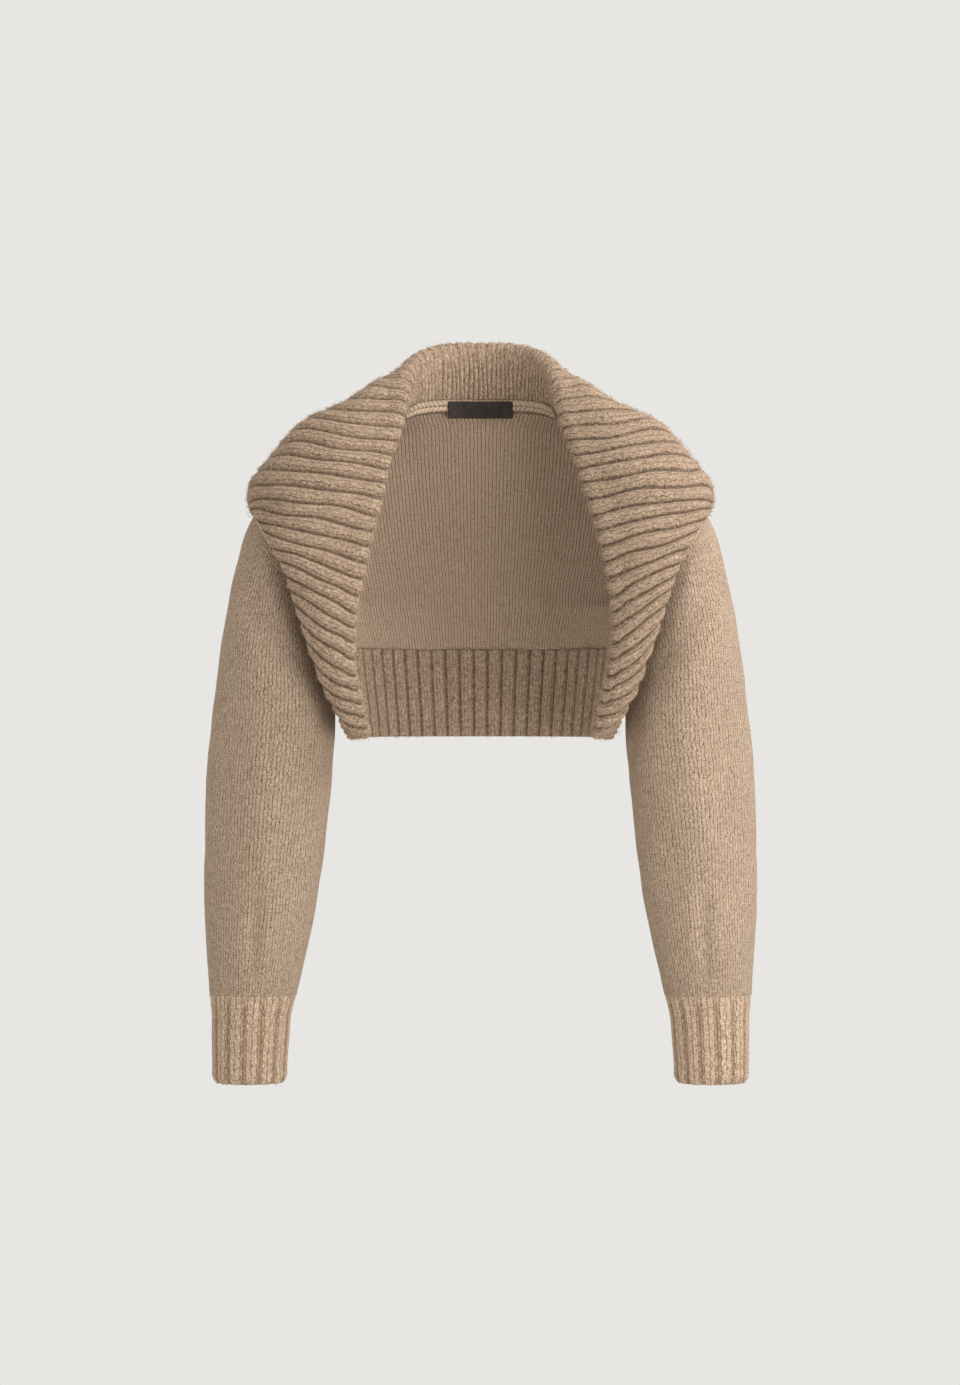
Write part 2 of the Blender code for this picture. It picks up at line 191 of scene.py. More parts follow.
def collar_at(ribs, columns):
    """Points of the collar's middle surface: rows at these rib counts, columns from seam to edge."""
    half = [collar_section(*row[1:], *fall) for row, fall in zip(STAND, FALL)]
    flip = np.array([-1, 1, 1])
    sections = np.array([section * flip for section in half[:0:-1]] + half)
    counts = np.array([-row[0] for row in STAND[:0:-1]] + [row[0] for row in STAND])
    rows = spline(sections.reshape(len(sections), -1), counts, ribs).reshape(len(ribs), -1, 3)
    rolls = np.interp(np.abs(ribs), [row[0] for row in STAND], [row[1] for row in STAND])
    return np.array([along(row, roll, columns) for row, roll in zip(rows, rolls)])


def lengths(points, axis):
    """Running length of a grid's lines along this axis, from 0 at its start."""
    steps = np.linalg.norm(np.diff(points, axis=axis), axis=2)
    start = np.zeros_like(np.take(steps, [0], axis=axis))
    return np.concatenate([start, np.cumsum(steps, axis=axis)], axis=axis)


def sheet_mesh(name, points, wales, courses, closed=False, flip=None, wale_scale=1.0, **values):
    """A sheet, or a tube when closed, through rows of points in millimetres. Its UV map counts stitches,
    and each further value is a number at every point. Flip turns its rows (0) or columns (1) the other
    way, so that its right side faces out."""
    rows, columns = points.shape[:2]
    turns = columns if closed else columns - 1

    def laid(value, across):
        value = np.broadcast_to(value, (rows, across))
        return value if flip is None else np.flip(value, flip)

    points = points if flip is None else np.flip(points, flip)
    wales, courses = laid(wales, turns + 1), laid(courses, turns + 1)
    scale = laid(wale_scale, turns)[0]
    row, column = np.meshgrid(np.arange(rows - 1), np.arange(turns), indexing="ij")
    corners = [(row, column), (row, column + 1), (row + 1, column + 1), (row + 1, column)]
    faces = np.stack([r * columns + c % columns for r, c in corners], axis=-1).reshape(-1, 4)
    mesh = bpy.data.meshes.new(name)
    mesh.from_pydata((points.reshape(-1, 3) * MM).tolist(), [], faces.tolist())
    u = np.stack([wales[r, c] * scale[column] for r, c in corners], axis=-1)
    v = np.stack([courses[r, c] for r, c in corners], axis=-1)
    stitches = mesh.uv_layers.new(name="stitches")
    stitches.uv.foreach_set("vector", np.stack([u, v], axis=-1).astype(np.float32).ravel())
    for key in ("rib", "relief", "fine", "swell", "edge"):
        value = laid(values.get(key, 1.0 if key == "swell" else 0.0), columns)
        store = mesh.attributes.new(key, "FLOAT", "POINT")
        store.data.foreach_set("value", np.ascontiguousarray(value, np.float32).ravel())
    piece = bpy.data.objects.new(name, mesh)
    bpy.context.scene.collection.objects.link(piece)
    return piece


def add_node(tree, kind, links=None, **settings):
    """One node in this tree, with its settings, and its inputs by name or place: each is a plain value or
    another node's output."""
    made = tree.nodes.new(kind)
    for key, value in settings.items():
        setattr(made, key, value)
    for key, value in (links or {}).items():
        if isinstance(value, bpy.types.NodeSocket):
            tree.links.new(value, made.inputs[key])
        else:
            made.inputs[key].default_value = value
    return made


def maths(tree, operation, *values, clamp=False):
    """The result of one Math node in this tree."""
    links = dict(enumerate(values))
    return add_node(tree, "ShaderNodeMath", links, operation=operation, use_clamp=clamp).outputs[0]


def noise(tree, place, scale, detail, **more):
    """Smooth noise over this place, with so many lumps to a metre."""
    links = {"Vector": place, "Scale": scale, "Detail": detail, **more}
    return add_node(tree, "ShaderNodeTexNoise", links)


def read(tree, key, kind="FLOAT"):
    """What the mesh keeps under this name at every point."""
    named = add_node(tree, "GeometryNodeInputNamedAttribute", {"Name": key}, data_type=kind)
    return named.outputs["Attribute"]


def keep(tree, mesh, kind="FLOAT", **values):
    """The mesh with these values kept at every point, under their names."""
    for key, value in values.items():
        links = {"Geometry": mesh, "Name": key, "Value": value}
        step = add_node(tree, "GeometryNodeStoreNamedAttribute", links, data_type=kind, domain="POINT")
        mesh = step.outputs[0]
    return mesh


def new_tree(name, *sizes):
    """A tree that takes a mesh, these sizes and a material and gives a mesh; and its given values."""
    tree = bpy.data.node_groups.new(name, "GeometryNodeTree")
    tree.is_modifier = True
    sockets = tree.interface
    sockets.new_socket("Geometry", in_out="INPUT", socket_type="NodeSocketGeometry")
    for key in sizes:
        sockets.new_socket(key, in_out="INPUT", socket_type="NodeSocketFloat")
    sockets.new_socket("Material", in_out="INPUT", socket_type="NodeSocketMaterial")
    sockets.new_socket("Geometry", in_out="OUTPUT", socket_type="NodeSocketGeometry")
    return tree, tree.nodes.new("NodeGroupInput").outputs


def finish_tree(tree, geometry, material):
    """Ends a tree: its instances made real, in their material."""
    plain = add_node(tree, "GeometryNodeRealizeInstances", {"Geometry": geometry})
    links = {"Geometry": plain.outputs[0], "Material": material}
    coloured = add_node(tree, "GeometryNodeSetMaterial", links)
    result = tree.nodes.new("NodeGroupOutput")
    tree.links.new(coloured.outputs[0], result.inputs[0])


def plain_mesh(piece):
    """Turns what the piece's modifiers make of it into its own mesh, and drops them."""
    graph = bpy.context.evaluated_depsgraph_get()
    made = bpy.data.meshes.new_from_object(piece.evaluated_get(graph))
    piece.modifiers.clear()
    piece.data = made
    for key in ("rib", "relief", "fine", "swell", "to_face", "to_reverse"):
        if key in made.attributes:
            made.attributes.remove(made.attributes[key])


def run_tree(piece, tree, sizes):
    """Runs a tree on the piece with these named sizes, and keeps what it makes as the piece's mesh."""
    step = piece.modifiers.new(tree.name, "NODES")
    step.node_group = tree
    for socket in tree.interface.items_tree:
        if socket.in_out == "INPUT" and socket.name in sizes:
            step[socket.identifier] = sizes[socket.name]
    plain_mesh(piece)


def knit_wall_tree():
    """Gives a sheet its ribs and its wall. The ribs follow the sheet's own counts: each has its crown where
    rib is a whole number and meets its neighbour in a groove; the reverse has the opposite ribs."""
    heights = "Rib Height", "Fine Rib Height", "Reverse Height"
    tree, given = new_tree("knit_wall", "Wall", *heights, "Groove", "Lumps", "Lump Size")

    def groove_at(count):
        """0 on a rib's crown, 1 in the middle of the groove beside it."""
        place = maths(tree, "FRACT", maths(tree, "ADD", count, 0.5))
        return maths(tree, "ABSOLUTE", maths(tree, "SUBTRACT", maths(tree, "MULTIPLY", place, 2.0), 1.0))

    def crown(groove, roundness):
        return maths(tree, "SUBTRACT", 1.0, maths(tree, "POWER", groove, roundness))

    rib = read(tree, "rib")
    broad = groove_at(rib)
    fine = groove_at(maths(tree, "MULTIPLY", rib, 2.0))
    back_broad = maths(tree, "SUBTRACT", 1.0, broad)
    relief, narrow = read(tree, "relief"), read(tree, "fine")
    broad_height = maths(tree, "MULTIPLY", given["Rib Height"], relief)
    fine_height = maths(tree, "MULTIPLY", given["Fine Rib Height"], narrow)
    back_height = maths(tree, "MULTIPLY", given["Reverse Height"], relief)
    broad_rise = maths(tree, "MULTIPLY", crown(broad, given["Groove"]), broad_height)
    fine_rise = maths(tree, "MULTIPLY", crown(fine, FINE_GROOVE), fine_height)
    back_rise = maths(tree, "MULTIPLY", crown(back_broad, given["Groove"]), back_height)
    half_wall = maths(tree, "MULTIPLY", maths(tree, "MULTIPLY", given["Wall"], 0.5), read(tree, "swell"))
    place = tree.nodes.new("GeometryNodeInputPosition").outputs[0]
    lump_scale = maths(tree, "DIVIDE", 1.0, given["Lump Size"])
    lumpy = noise(tree, place, lump_scale, 1.0).outputs[0]
    lump = maths(tree, "MULTIPLY", maths(tree, "SUBTRACT", lumpy, 0.5), given["Lumps"])
    ribs_rise = maths(tree, "ADD", broad_rise, fine_rise)
    rise = maths(tree, "ADD", ribs_rise, maths(tree, "ADD", half_wall, lump))
    sink = maths(tree, "SUBTRACT", lump, maths(tree, "ADD", half_wall, back_rise))

    normal = tree.nodes.new("GeometryNodeInputNormal").outputs[0]
    geometry = given["Geometry"]
    # Where in a groove each point lies and how deep the groove is there, for the painted shade in the
    # grooves.
    deep_face = maths(tree, "MULTIPLY_ADD", maths(tree, "SUBTRACT", fine, broad), narrow, broad)
    sunk_face = maths(tree, "MAXIMUM", relief, narrow)
    for key, size in (("to_face", rise), ("to_reverse", sink)):
        offset = add_node(tree, "ShaderNodeVectorMath", {0: normal, "Scale": size}, operation="SCALE")
        geometry = keep(tree, geometry, "FLOAT_VECTOR", **{key: offset.outputs[0]})

    def moved(mesh, key, selection=True):
        links = {"Geometry": mesh, "Offset": read(tree, key, "FLOAT_VECTOR"), "Selection": selection}
        return add_node(tree, "GeometryNodeSetPosition", links).outputs[0]

    geometry = keep(tree, geometry, deep=deep_face, sunk=sunk_face)
    in_place = {"Mesh": geometry, "Offset Scale": 0.0, "Individual": False}
    raised = add_node(tree, "GeometryNodeExtrudeMesh", in_place)
    top = raised.outputs["Top"]
    under = add_node(tree, "FunctionNodeBooleanMath", {0: top}, operation="NOT")
    face_and_rim = moved(moved(raised.outputs["Mesh"], "to_face", top), "to_reverse", under.outputs[0])
    reverse = add_node(tree, "GeometryNodeFlipFaces", {"Mesh": moved(geometry, "to_reverse")})
    # The reverse gets the same painted groove shade, from its own opposite ribs.
    back_face = keep(tree, reverse.outputs[0], deep=back_broad, sunk=relief, reverse=1.0)
    joined = tree.nodes.new("GeometryNodeJoinGeometry")
    tree.links.new(back_face, joined.inputs[0])
    tree.links.new(face_and_rim, joined.inputs[0])
    together = {"Geometry": joined.outputs[0], "Distance": WELD}
    welded = add_node(tree, "GeometryNodeMergeByDistance", together)
    smooth = add_node(tree, "GeometryNodeSetShadeSmooth", {"Geometry": welded.outputs[0]})
    finish_tree(tree, smooth.outputs[0], given["Material"])
    return tree


KNIT_WALL = knit_wall_tree()


def knit(piece, material, wall, rib=0.0, fine=0.0, reverse=0.0, groove=3.4, lumps=1.2, lump_size=30.0):
    """Gives the sheet its ribs and wall, sizes in millimetres."""
    sizes = {
        "Wall": wall * MM,
        "Rib Height": rib * MM,
        "Fine Rib Height": fine * MM,
        "Reverse Height": reverse * MM,
        "Groove": groove,
        "Lumps": lumps * MM,
        "Lump Size": lump_size * MM,
        "Material": material,
    }
    run_tree(piece, KNIT_WALL, sizes)


def new_material(name, finish):
    """A material with this finish, a value for each input of its shader; its tree and its shader."""
    material = bpy.data.materials.new(name)
    material.use_nodes = True
    shader = material.node_tree.nodes["Principled BSDF"]
    for key, value in finish.items():
        shader.inputs[key].default_value = value
    return material, material.node_tree, shader


def shades(tree, amount, first, last, *between):
    """Colours by amount; each is a place on the scale, a colour and how bright it is."""
    ramp = add_node(tree, "ShaderNodeValToRGB", {"Fac": amount})
    stops = ramp.color_ramp.elements

    def fill(stop, place, colour, bright):
        stop.position = place
        stop.color = (*[min(1.0, c * bright) for c in colour], 1.0)

    fill(stops[0], *first)
    fill(stops[1], *last)
    for mark in between:
        fill(stops.new(mark[0]), *mark)
    return ramp.outputs[0]


def yarn_material(name, painted_brightness=1.0, stitch_relief_and_shade=1.0, groove_shade=1.0, uneven=1.0, heathered=1.0):
    """Brushed camel yarn, knitted: slanted loops in columns, heathered fibres and pale loose hairs."""
    finish = {
        "Roughness": 0.93,
        "Specular IOR Level": 0.2,
        "Sheen Weight": 0.12,
        "Sheen Roughness": 0.45,
        "Sheen Tint": (1.0, 0.9, 0.78, 1.0),
    }
    material, tree, shader = new_material(name, finish)

    # The loops: u counts the columns and v the rows.
    counts = add_node(tree, "ShaderNodeUVMap", uv_map="stitches").outputs[0]
    wobble = noise(tree, counts, 0.55, 2.0)
    shift = add_node(tree, "ShaderNodeSeparateColor", {"Color": wobble.outputs["Color"]})
    split = add_node(tree, "ShaderNodeSeparateXYZ", {"Vector": counts})
    u = maths(tree, "MULTIPLY_ADD", shift.outputs[0], 0.7 * uneven, split.outputs[0])
    v = maths(tree, "MULTIPLY_ADD", shift.outputs[1], 1.3 * uneven, split.outputs[1])
    aside = maths(tree, "ABSOLUTE", maths(tree, "SUBTRACT", maths(tree, "FRACT", u), 0.5))
    off_leg = maths(tree, "MULTIPLY", maths(tree, "SUBTRACT", aside, 0.25), 4.0)
    leg = maths(tree, "SUBTRACT", 1.0, maths(tree, "MULTIPLY", off_leg, off_leg), clamp=True)
    # The gap between two columns is deeper than the one between the two legs of a column, and is painted
    # darker: painted shade in the gaps.
    between = maths(tree, "MULTIPLY", maths(tree, "SUBTRACT", 0.22, aside), 1.5)
    leg = maths(tree, "ADD", leg, between, clamp=True)
    turn = maths(tree, "MULTIPLY_ADD", aside, 1.5, v)
    loop = maths(tree, "ABSOLUTE", maths(tree, "SINE", maths(tree, "MULTIPLY", turn, math.pi)))
    loop = maths(tree, "MULTIPLY_ADD", maths(tree, "SQRT", loop), 0.7, 0.3)
    loops = maths(tree, "MULTIPLY", maths(tree, "SQRT", leg), loop)

    # The fibres: fine specks, heathered patches, a slow change of tone, and hairs that lie every way.
    place = add_node(tree, "ShaderNodeTexCoord").outputs["Object"]
    specks = noise(tree, place, 620.0, 3.0, Roughness=0.7)
    heather = noise(tree, place, 300.0, 2.0)
    tone = noise(tree, place, 22.0, 2.0)
    hairs = None
    for turned, stretch in HAIR_WAYS:
        laid = add_node(tree, "ShaderNodeMapping", {"Vector": place, "Rotation": turned, "Scale": stretch})
        fibre = noise(tree, laid.outputs[0], 1.0, 1.0)
        off_ridge = maths(tree, "ABSOLUTE", maths(tree, "MULTIPLY_ADD", fibre.outputs[0], 2.0, -1.0))
        ridge = maths(tree, "SUBTRACT", 1.0, off_ridge)
        strand = maths(tree, "POWER", ridge, 26.0)
        hairs = strand if hairs is None else maths(tree, "MAXIMUM", hairs, strand)
    hairs = maths(tree, "MULTIPLY", hairs, 0.5)

    # The grooves between the ribs get painted shade: a soft darkening into the hollow and a dark line,
    # which the stitches break.
    deep = add_node(tree, "ShaderNodeAttribute", attribute_name="deep").outputs["Fac"]
    sunk = add_node(tree, "ShaderNodeAttribute", attribute_name="sunk").outputs["Fac"]
    step = maths(tree, "SINE", maths(tree, "MULTIPLY", v, 2 * math.pi))
    jagged = maths(tree, "MULTIPLY_ADD", step, 0.07, deep)
    jagged = maths(tree, "MULTIPLY_ADD", maths(tree, "SUBTRACT", specks.outputs[0], 0.5), 0.7, jagged)
    painted_groove_line = maths(tree, "MULTIPLY", maths(tree, "SUBTRACT", jagged, 0.76), 4.5, clamp=True)
    painted_hollow_shade = maths(tree, "MULTIPLY", maths(tree, "POWER", deep, 5.0), 0.3 * groove_shade)
    # groove is the painted shade taken off the colour in the rib grooves.
    groove = maths(tree, "MULTIPLY", sunk, maths(tree, "MULTIPLY_ADD", painted_groove_line, 0.55 * groove_shade, painted_hollow_shade))
    # The loops' colour is painted light and shade: paler on their tops, darker in the gaps between them and
    # between the columns; the same loops also make the bump.
    value = maths(tree, "MULTIPLY_ADD", loops, 0.95 * stitch_relief_and_shade, 0.52 - 0.5 * stitch_relief_and_shade)
    for source, weight in ((specks, 1.3 * heathered), (heather, heathered), (tone, 0.1)):
        value = maths(tree, "MULTIPLY_ADD", maths(tree, "SUBTRACT", source.outputs[0], 0.5), weight, value)
    value = maths(tree, "SUBTRACT", value, groove)
    # A paler band along the bound-off free edge: a painted highlight on its round edge.
    edge = add_node(tree, "ShaderNodeAttribute", attribute_name="edge").outputs["Fac"]
    value = maths(tree, "MULTIPLY_ADD", edge, 0.4, value)
    # painted_brightness lightens or darkens all of a piece's yarn: lit and shaded copies of the one camel
    # yarn, as painted light and shade.
    dark, pale, middle = (0.0, CAMEL_DARK, painted_brightness), (1.0, CAMEL_PALE, painted_brightness), (0.52, CAMEL_MID, painted_brightness)
    yarn = shades(tree, value, dark, pale, middle)
    hair = (*[c * painted_brightness * HAIR_BRIGHT for c in CAMEL_PALE], 1.0)
    mixed = add_node(tree, "ShaderNodeMix", {"Factor": hairs, 6: yarn, 7: hair}, data_type="RGBA")
    tree.links.new(mixed.outputs[2], shader.inputs["Base Color"])

    height = maths(tree, "MULTIPLY", loops, stitch_relief_and_shade)
    height = maths(tree, "MULTIPLY_ADD", specks.outputs[0], 0.7, height)
    height = maths(tree, "MULTIPLY_ADD", hairs, 0.5, height)
    relief = {"Height": height, "Strength": 1.0, "Distance": BUMP_DEPTH * MM}
    tree.links.new(add_node(tree, "ShaderNodeBump", relief).outputs[0], shader.inputs["Normal"])
    return material


RIB_YARN = yarn_material("rib_yarn", painted_brightness=0.98, stitch_relief_and_shade=0.6, uneven=2.0)

ribs = np.arange(-SIDE_RIB, SIDE_RIB + 0.01, 1 / SAMPLES_PER_RIB)
on_stand, on_roll = np.linspace(-1, -ROLL, 14), np.linspace(-ROLL, ROLL, 9)[1:-1]
columns = np.concatenate([on_stand, on_roll, np.linspace(ROLL, BOUND_OFF, 32), EDGE_ROWS])
grid = collar_at(ribs, columns)
# Both folds hang a little to one side.
leaning_ribs = np.exp(-(((np.abs(ribs) - LEAN_RIB) / LEAN_RIBS) ** 2))
grid[:, :, 0] += FOLD_LEAN * leaning_ribs[:, None] * np.exp(-((columns / LEAN_COLUMNS) ** 2))[None, :]
# The ribs wander a little, as knitting does.
down = lengths(grid, 1)
count = ribs[:, None]
wander = 0.09 * np.sin(0.9 * count + down / 23) * np.sin(0.37 * count - down / 31 + 1.3)
wander += 0.05 * np.sin(2.1 * count + down / 11)
wander *= np.clip((SIDE_RIB - np.abs(count)) / 3, 0, 1)
grid = grid + np.gradient(grid, ribs, axis=0) * wander[:, :, None]
# The ribs' ends stand out a little along the free edge, and the cloth thins to a round edge.
crown = 1 - np.abs(((ribs + 0.5) % 1) * 2 - 1) ** 2.6
to_edge = lengths(grid, 1)
to_edge = to_edge[:, -1:] - to_edge
outward = grid[:, -1] - grid[:, -6]
outward /= np.linalg.norm(outward, axis=1, keepdims=True)
reach = SCALLOP * (crown - 0.7)[:, None] * np.exp(-((to_edge / SCALLOP_REACH) ** 2))
grid = grid + reach[:, :, None] * outward[:, None, :]
fine_share = np.clip((-columns - 0.05) / 0.3, 0, 1)
fall_relief = np.clip((1.008 - columns) / 0.035, 0.25, 1)
relief_share = np.where(columns < 0, np.clip(1 + columns * 4, 0.12, 1), fall_relief)
back_of_neck = np.clip((NECK_RIBS - np.abs(ribs)) / NECK_FADE, 0, 1)[:, None]
# The fold is stretched smooth over the back of the neck.
height_left = 1 - 0.6 * back_of_neck * np.exp(-((columns[None, :] / 0.22) ** 2))
# The ribs over the top of the shoulders are pulled flatter, the left ones more.
flatter = sum(share * np.exp(-(((ribs - rib) / 4) ** 2)) for rib, share in FLATTER_RIBS)
height_left = height_left * (1 - flatter)[:, None]
stand_relief = (1 - back_of_neck) * 0.85 * (columns < 0)[None, :]
swell = np.ones(len(columns))
swell[-len(EDGE_ROWS) :] = COLLAR_EDGE
collar = sheet_mesh(
    "rib_collar",
    grid,
    ribs[:, None],
    lengths(grid, 1) / COURSE,
    flip=1,
    wale_scale=np.where(columns[:-1] < -0.01, STAND_WALES, FALL_WALES),
    rib=ribs[:, None],
    relief=np.maximum(relief_share[None, :], stand_relief) * height_left,
    fine=fine_share[None, :] * back_of_neck,
    swell=swell,
    # the painted highlight along the bound-off free edge
    edge=columns > BOUND_OFF,
)
knit(collar, RIB_YARN, COLLAR_WALL, rib=COLLAR_RIB_HEIGHT, fine=STAND_RIB_HEIGHT, reverse=1.6, groove=2.5)
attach(collar, "root")
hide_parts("collar")

HAIR_LENGTH, HAIR_WIDTH = 4.0, 0.27
HAIR_TURNS = (-0.35, -0.45, 0.0), (0.35, 0.3, 6.2832)  # least and most, so that they lean every way
HAIR_SIZES = 0.45, 1.25  # the shortest and the longest, in lengths


def loose_hairs_tree():
    """Scatters short bent hairs over a surface: flat strips that start in it and lean every way."""
    tree, given = new_tree("loose_hairs", "Density", "Density Inside", "Length", "Width")
    less = maths(tree, "SUBTRACT", given["Density Inside"], given["Density"])
    less = maths(tree, "MULTIPLY", read(tree, "reverse"), less)
    density = maths(tree, "ADD", given["Density"], less)
    sown = {"Mesh": given["Geometry"], "Density": density, "Seed": 7}
    roots = add_node(tree, "GeometryNodeDistributePointsOnFaces", sown)

    def point(*places):
        parts = (maths(tree, "MULTIPLY", given["Length"], place) for place in places)
        return add_node(tree, "ShaderNodeCombineXYZ", dict(zip("XZ", parts))).outputs[0]

    arc = {"Resolution": 1, "Start": point(0.0, -0.05), "Middle": point(0.35, 0.42), "End": point(1.0, 0.3)}
    bend = add_node(tree, "GeometryNodeCurveQuadraticBezier", arc)
    side = add_node(tree, "ShaderNodeCombineXYZ", {"Y": given["Width"]})
    ends = {"Start": (0.0, 0.0, 0.0), "End": side.outputs[0]}
    profile = add_node(tree, "GeometryNodeCurvePrimitiveLine", ends)
    swept = {"Curve": bend.outputs[0], "Profile Curve": profile.outputs[0]}
    strip = add_node(tree, "GeometryNodeCurveToMesh", swept)
    limits = {0: HAIR_TURNS[0], 1: HAIR_TURNS[1]}
    turn = add_node(tree, "FunctionNodeRandomValue", limits, data_type="FLOAT_VECTOR")
    turns = {"Rotation": roots.outputs["Rotation"], "Rotate By": turn.outputs[0]}
    turned = add_node(tree, "FunctionNodeRotateRotation", turns, rotation_space="LOCAL")
    limits = {2: HAIR_SIZES[0], 3: HAIR_SIZES[1]}
    size = add_node(tree, "FunctionNodeRandomValue", limits, data_type="FLOAT")
    hairs = {
        "Points": roots.outputs["Points"],
        "Instance": strip.outputs[0],
        "Rotation": turned.outputs[0],
        "Scale": size.outputs[1],
    }
    placed = add_node(tree, "GeometryNodeInstanceOnPoints", hairs)
    finish_tree(tree, placed.outputs[0], given["Material"])
    return tree


def hair_material():
    """Loose fibres of the camel yarn, from pale to straw."""
    finish = {"Roughness": 0.8, "Specular IOR Level": 0.15}
    material, tree, shader = new_material("loose_fibre", finish)
    place = add_node(tree, "ShaderNodeTexCoord").outputs["Object"]
    blend = noise(tree, place, 260.0, 1.0)
    straw, pale = (0.3, CAMEL_MID, 1.0), (0.7, CAMEL_PALE, HAIR_BRIGHT)
    tree.links.new(shades(tree, blend.outputs[0], straw, pale), shader.inputs["Base Color"])
    return material


LOOSE_HAIRS = loose_hairs_tree()
HAIR = hair_material()


def hairs_on(piece, per_square_cm, inside, length=HAIR_LENGTH):
    """The loose hairs of one knitted piece, outside and inside, as a piece of their own."""
    fuzz = bpy.data.objects.new(piece.name + "_hairs", piece.data.copy())
    bpy.context.scene.collection.objects.link(fuzz)
    sizes = {
        "Density": per_square_cm * 1e4,
        "Density Inside": inside * 1e4,
        "Length": length * MM,
        "Width": HAIR_WIDTH * MM,
        "Material": HAIR,
    }
    run_tree(fuzz, LOOSE_HAIRS, sizes)
    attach(fuzz, "root")


hairs_on(collar, 11.6, 1.0)

# ------------------------------------------------------------
# Sleeves. Plain knit tubes set into the armholes, straight down the arm, full above the cuff. Each ring of
# the table runs from the underside to the outer side; soft folds are laid on by their own places and sizes.
SLEEVE = [
    # inner (x, z), outer (x, z), middle y, half depth
    ((150, -205), (184, -50), -88, 51),
    ((153, -210), (204, -71), -88, 50),
    ((156, -216), (215, -97), -88, 50),
    ((158, -223), (232, -127), -88, 51),
    ((159, -233), (242, -162), -89, 54),
    ((157, -247), (250, -199), -91, 57),
    ((153, -266), (257, -239), -94, 60),
    ((148, -294), (263, -282), -96, 61),
    ((146, -330), (268, -324), -98, 60),
    ((149, -370), (272, -367), -100, 59),
    ((154, -420), (275, -419), -102, 58),
    ((160, -470), (275, -470), -106, 56),
    ((168, -520), (273, -520), -112, 52),
    ((176, -556), (270, -556), -118, 46),
    ((184, -591), (267, -591), -124, 37),
]
SLEEVE_FOLDS = [
    # from (turn, down), to (turn, down), half width, depth: turns from the underside round by the back,
    # down from the armhole, in millimetres; troughs are negative
    ((0.745, 365), (0.757, 462), 8, -4.0),
    ((0.72, 370), (0.725, 455), 9, 0.8),
    ((0.79, 380), (0.785, 455), 9, 1.6),
    ((0.75, 120), (0.757, 360), 24, 3.5),
    ((0.64, 140), (0.665, 420), 30, -4.5),
    ((0.80, 300), (0.86, 380), 16, -2.6),
    ((0.60, 60), (0.86, 150), 13, -2.8),
    ((0.58, 95), (0.80, 185), 15, 2.0),
    ((0.64, 20), (0.82, 70), 11, -2.2),
    ((0.90, 180), (0.98, 260), 15, -2.6),
    ((0.30, 90), (0.45, 200), 16, -2.6),
    ((0.20, 220), (0.30, 330), 15, 2.2),
    ((0.30, 380), (0.34, 470), 11, -2.6),
    ((0.45, 260), (0.52, 350), 18, -2.0),
    ((0.12, 150), (0.22, 240), 13, -2.2),
    ((0.05, 400), (0.10, 480), 10, -2.2),
]
SLEEVE_WALL = 2.6
WALE, BODY_COURSE = 3.4, 2.5  # one plain stitch
SLEEVE_WALES = 100  # columns of stitches round the sleeve
SLEEVE_ROUND, SLEEVE_LONG = 112, 150
WALE_RING = 60  # the ring on which those columns are evenly wide
FOLDS_ROUND = 340.0  # the girth at which the folds' turns are counted
GATHERS, GATHER_HEIGHT, GATHER_REACH = 26, 0.5, 16.0
END_ROW = 0.3  # the rows next to a tube's ends lie this close, to keep them crisp


def ring(inner, outer, middle_y, half_depth, turns):
    """One ring of a sleeve, from its underside round by the back, outer side and front."""
    centre = np.array([(inner[0] + outer[0]) / 2, middle_y, (inner[1] + outer[1]) / 2])
    half = np.array([(outer[0] - inner[0]) / 2, 0, (outer[1] - inner[1]) / 2])
    angle = np.asarray(turns)[:, None] * 2 * math.pi
    return centre - np.cos(angle) * half + np.sin(angle) * np.array([0, half_depth, 0])


def tube(table, turns, steps):
    """Rings through a table's rings, evenly along the tube."""
    rings = np.array([ring(*row, turns) for row in table])
    middles = rings.mean(axis=1)
    times = np.concatenate([[0], np.cumsum(np.linalg.norm(np.diff(middles, axis=0), axis=1))])
    at = np.linspace(0, times[-1], steps + 1)
    at = np.concatenate([[0, END_ROW], at[1:-1], [times[-1] - END_ROW, times[-1]]])
    return spline(rings.reshape(len(rings), -1), times, at).reshape(len(at), len(turns), 3), at


def laid_folds(table, turns, down, girth):
    """How far soft folds lift a tube's surface, at each ring and turn. A fold tapers to its ends."""
    lift = np.zeros((len(down), len(turns)))
    for (turn_a, down_a), (turn_b, down_b), half_width, depth in table:
        across = ((turns[None, :] - turn_a + 0.5) % 1 - 0.5) * girth
        below = down[:, None] - down_a
        way = np.array([(turn_b - turn_a) * girth, down_b - down_a])
        length = np.linalg.norm(way)
        share = (across * way[0] + below * way[1]) / length**2
        aside = (across * way[1] - below * way[0]) / length
        ends = np.exp(-np.maximum(0, np.abs(share - 0.5) - 0.25) ** 2 / 0.045)
        lift += depth * np.exp(-((aside / half_width) ** 2)) * ends
    return lift


def outward_of(points):
    """Unit normals of a closed tube of rings, pointing outwards."""
    round_way = np.roll(points, -1, axis=1) - np.roll(points, 1, axis=1)
    normals = np.cross(np.gradient(points, axis=0), round_way)
    normals *= np.sign((normals * (points - points.mean(axis=1, keepdims=True))).sum())
    return normals / np.linalg.norm(normals, axis=2, keepdims=True)


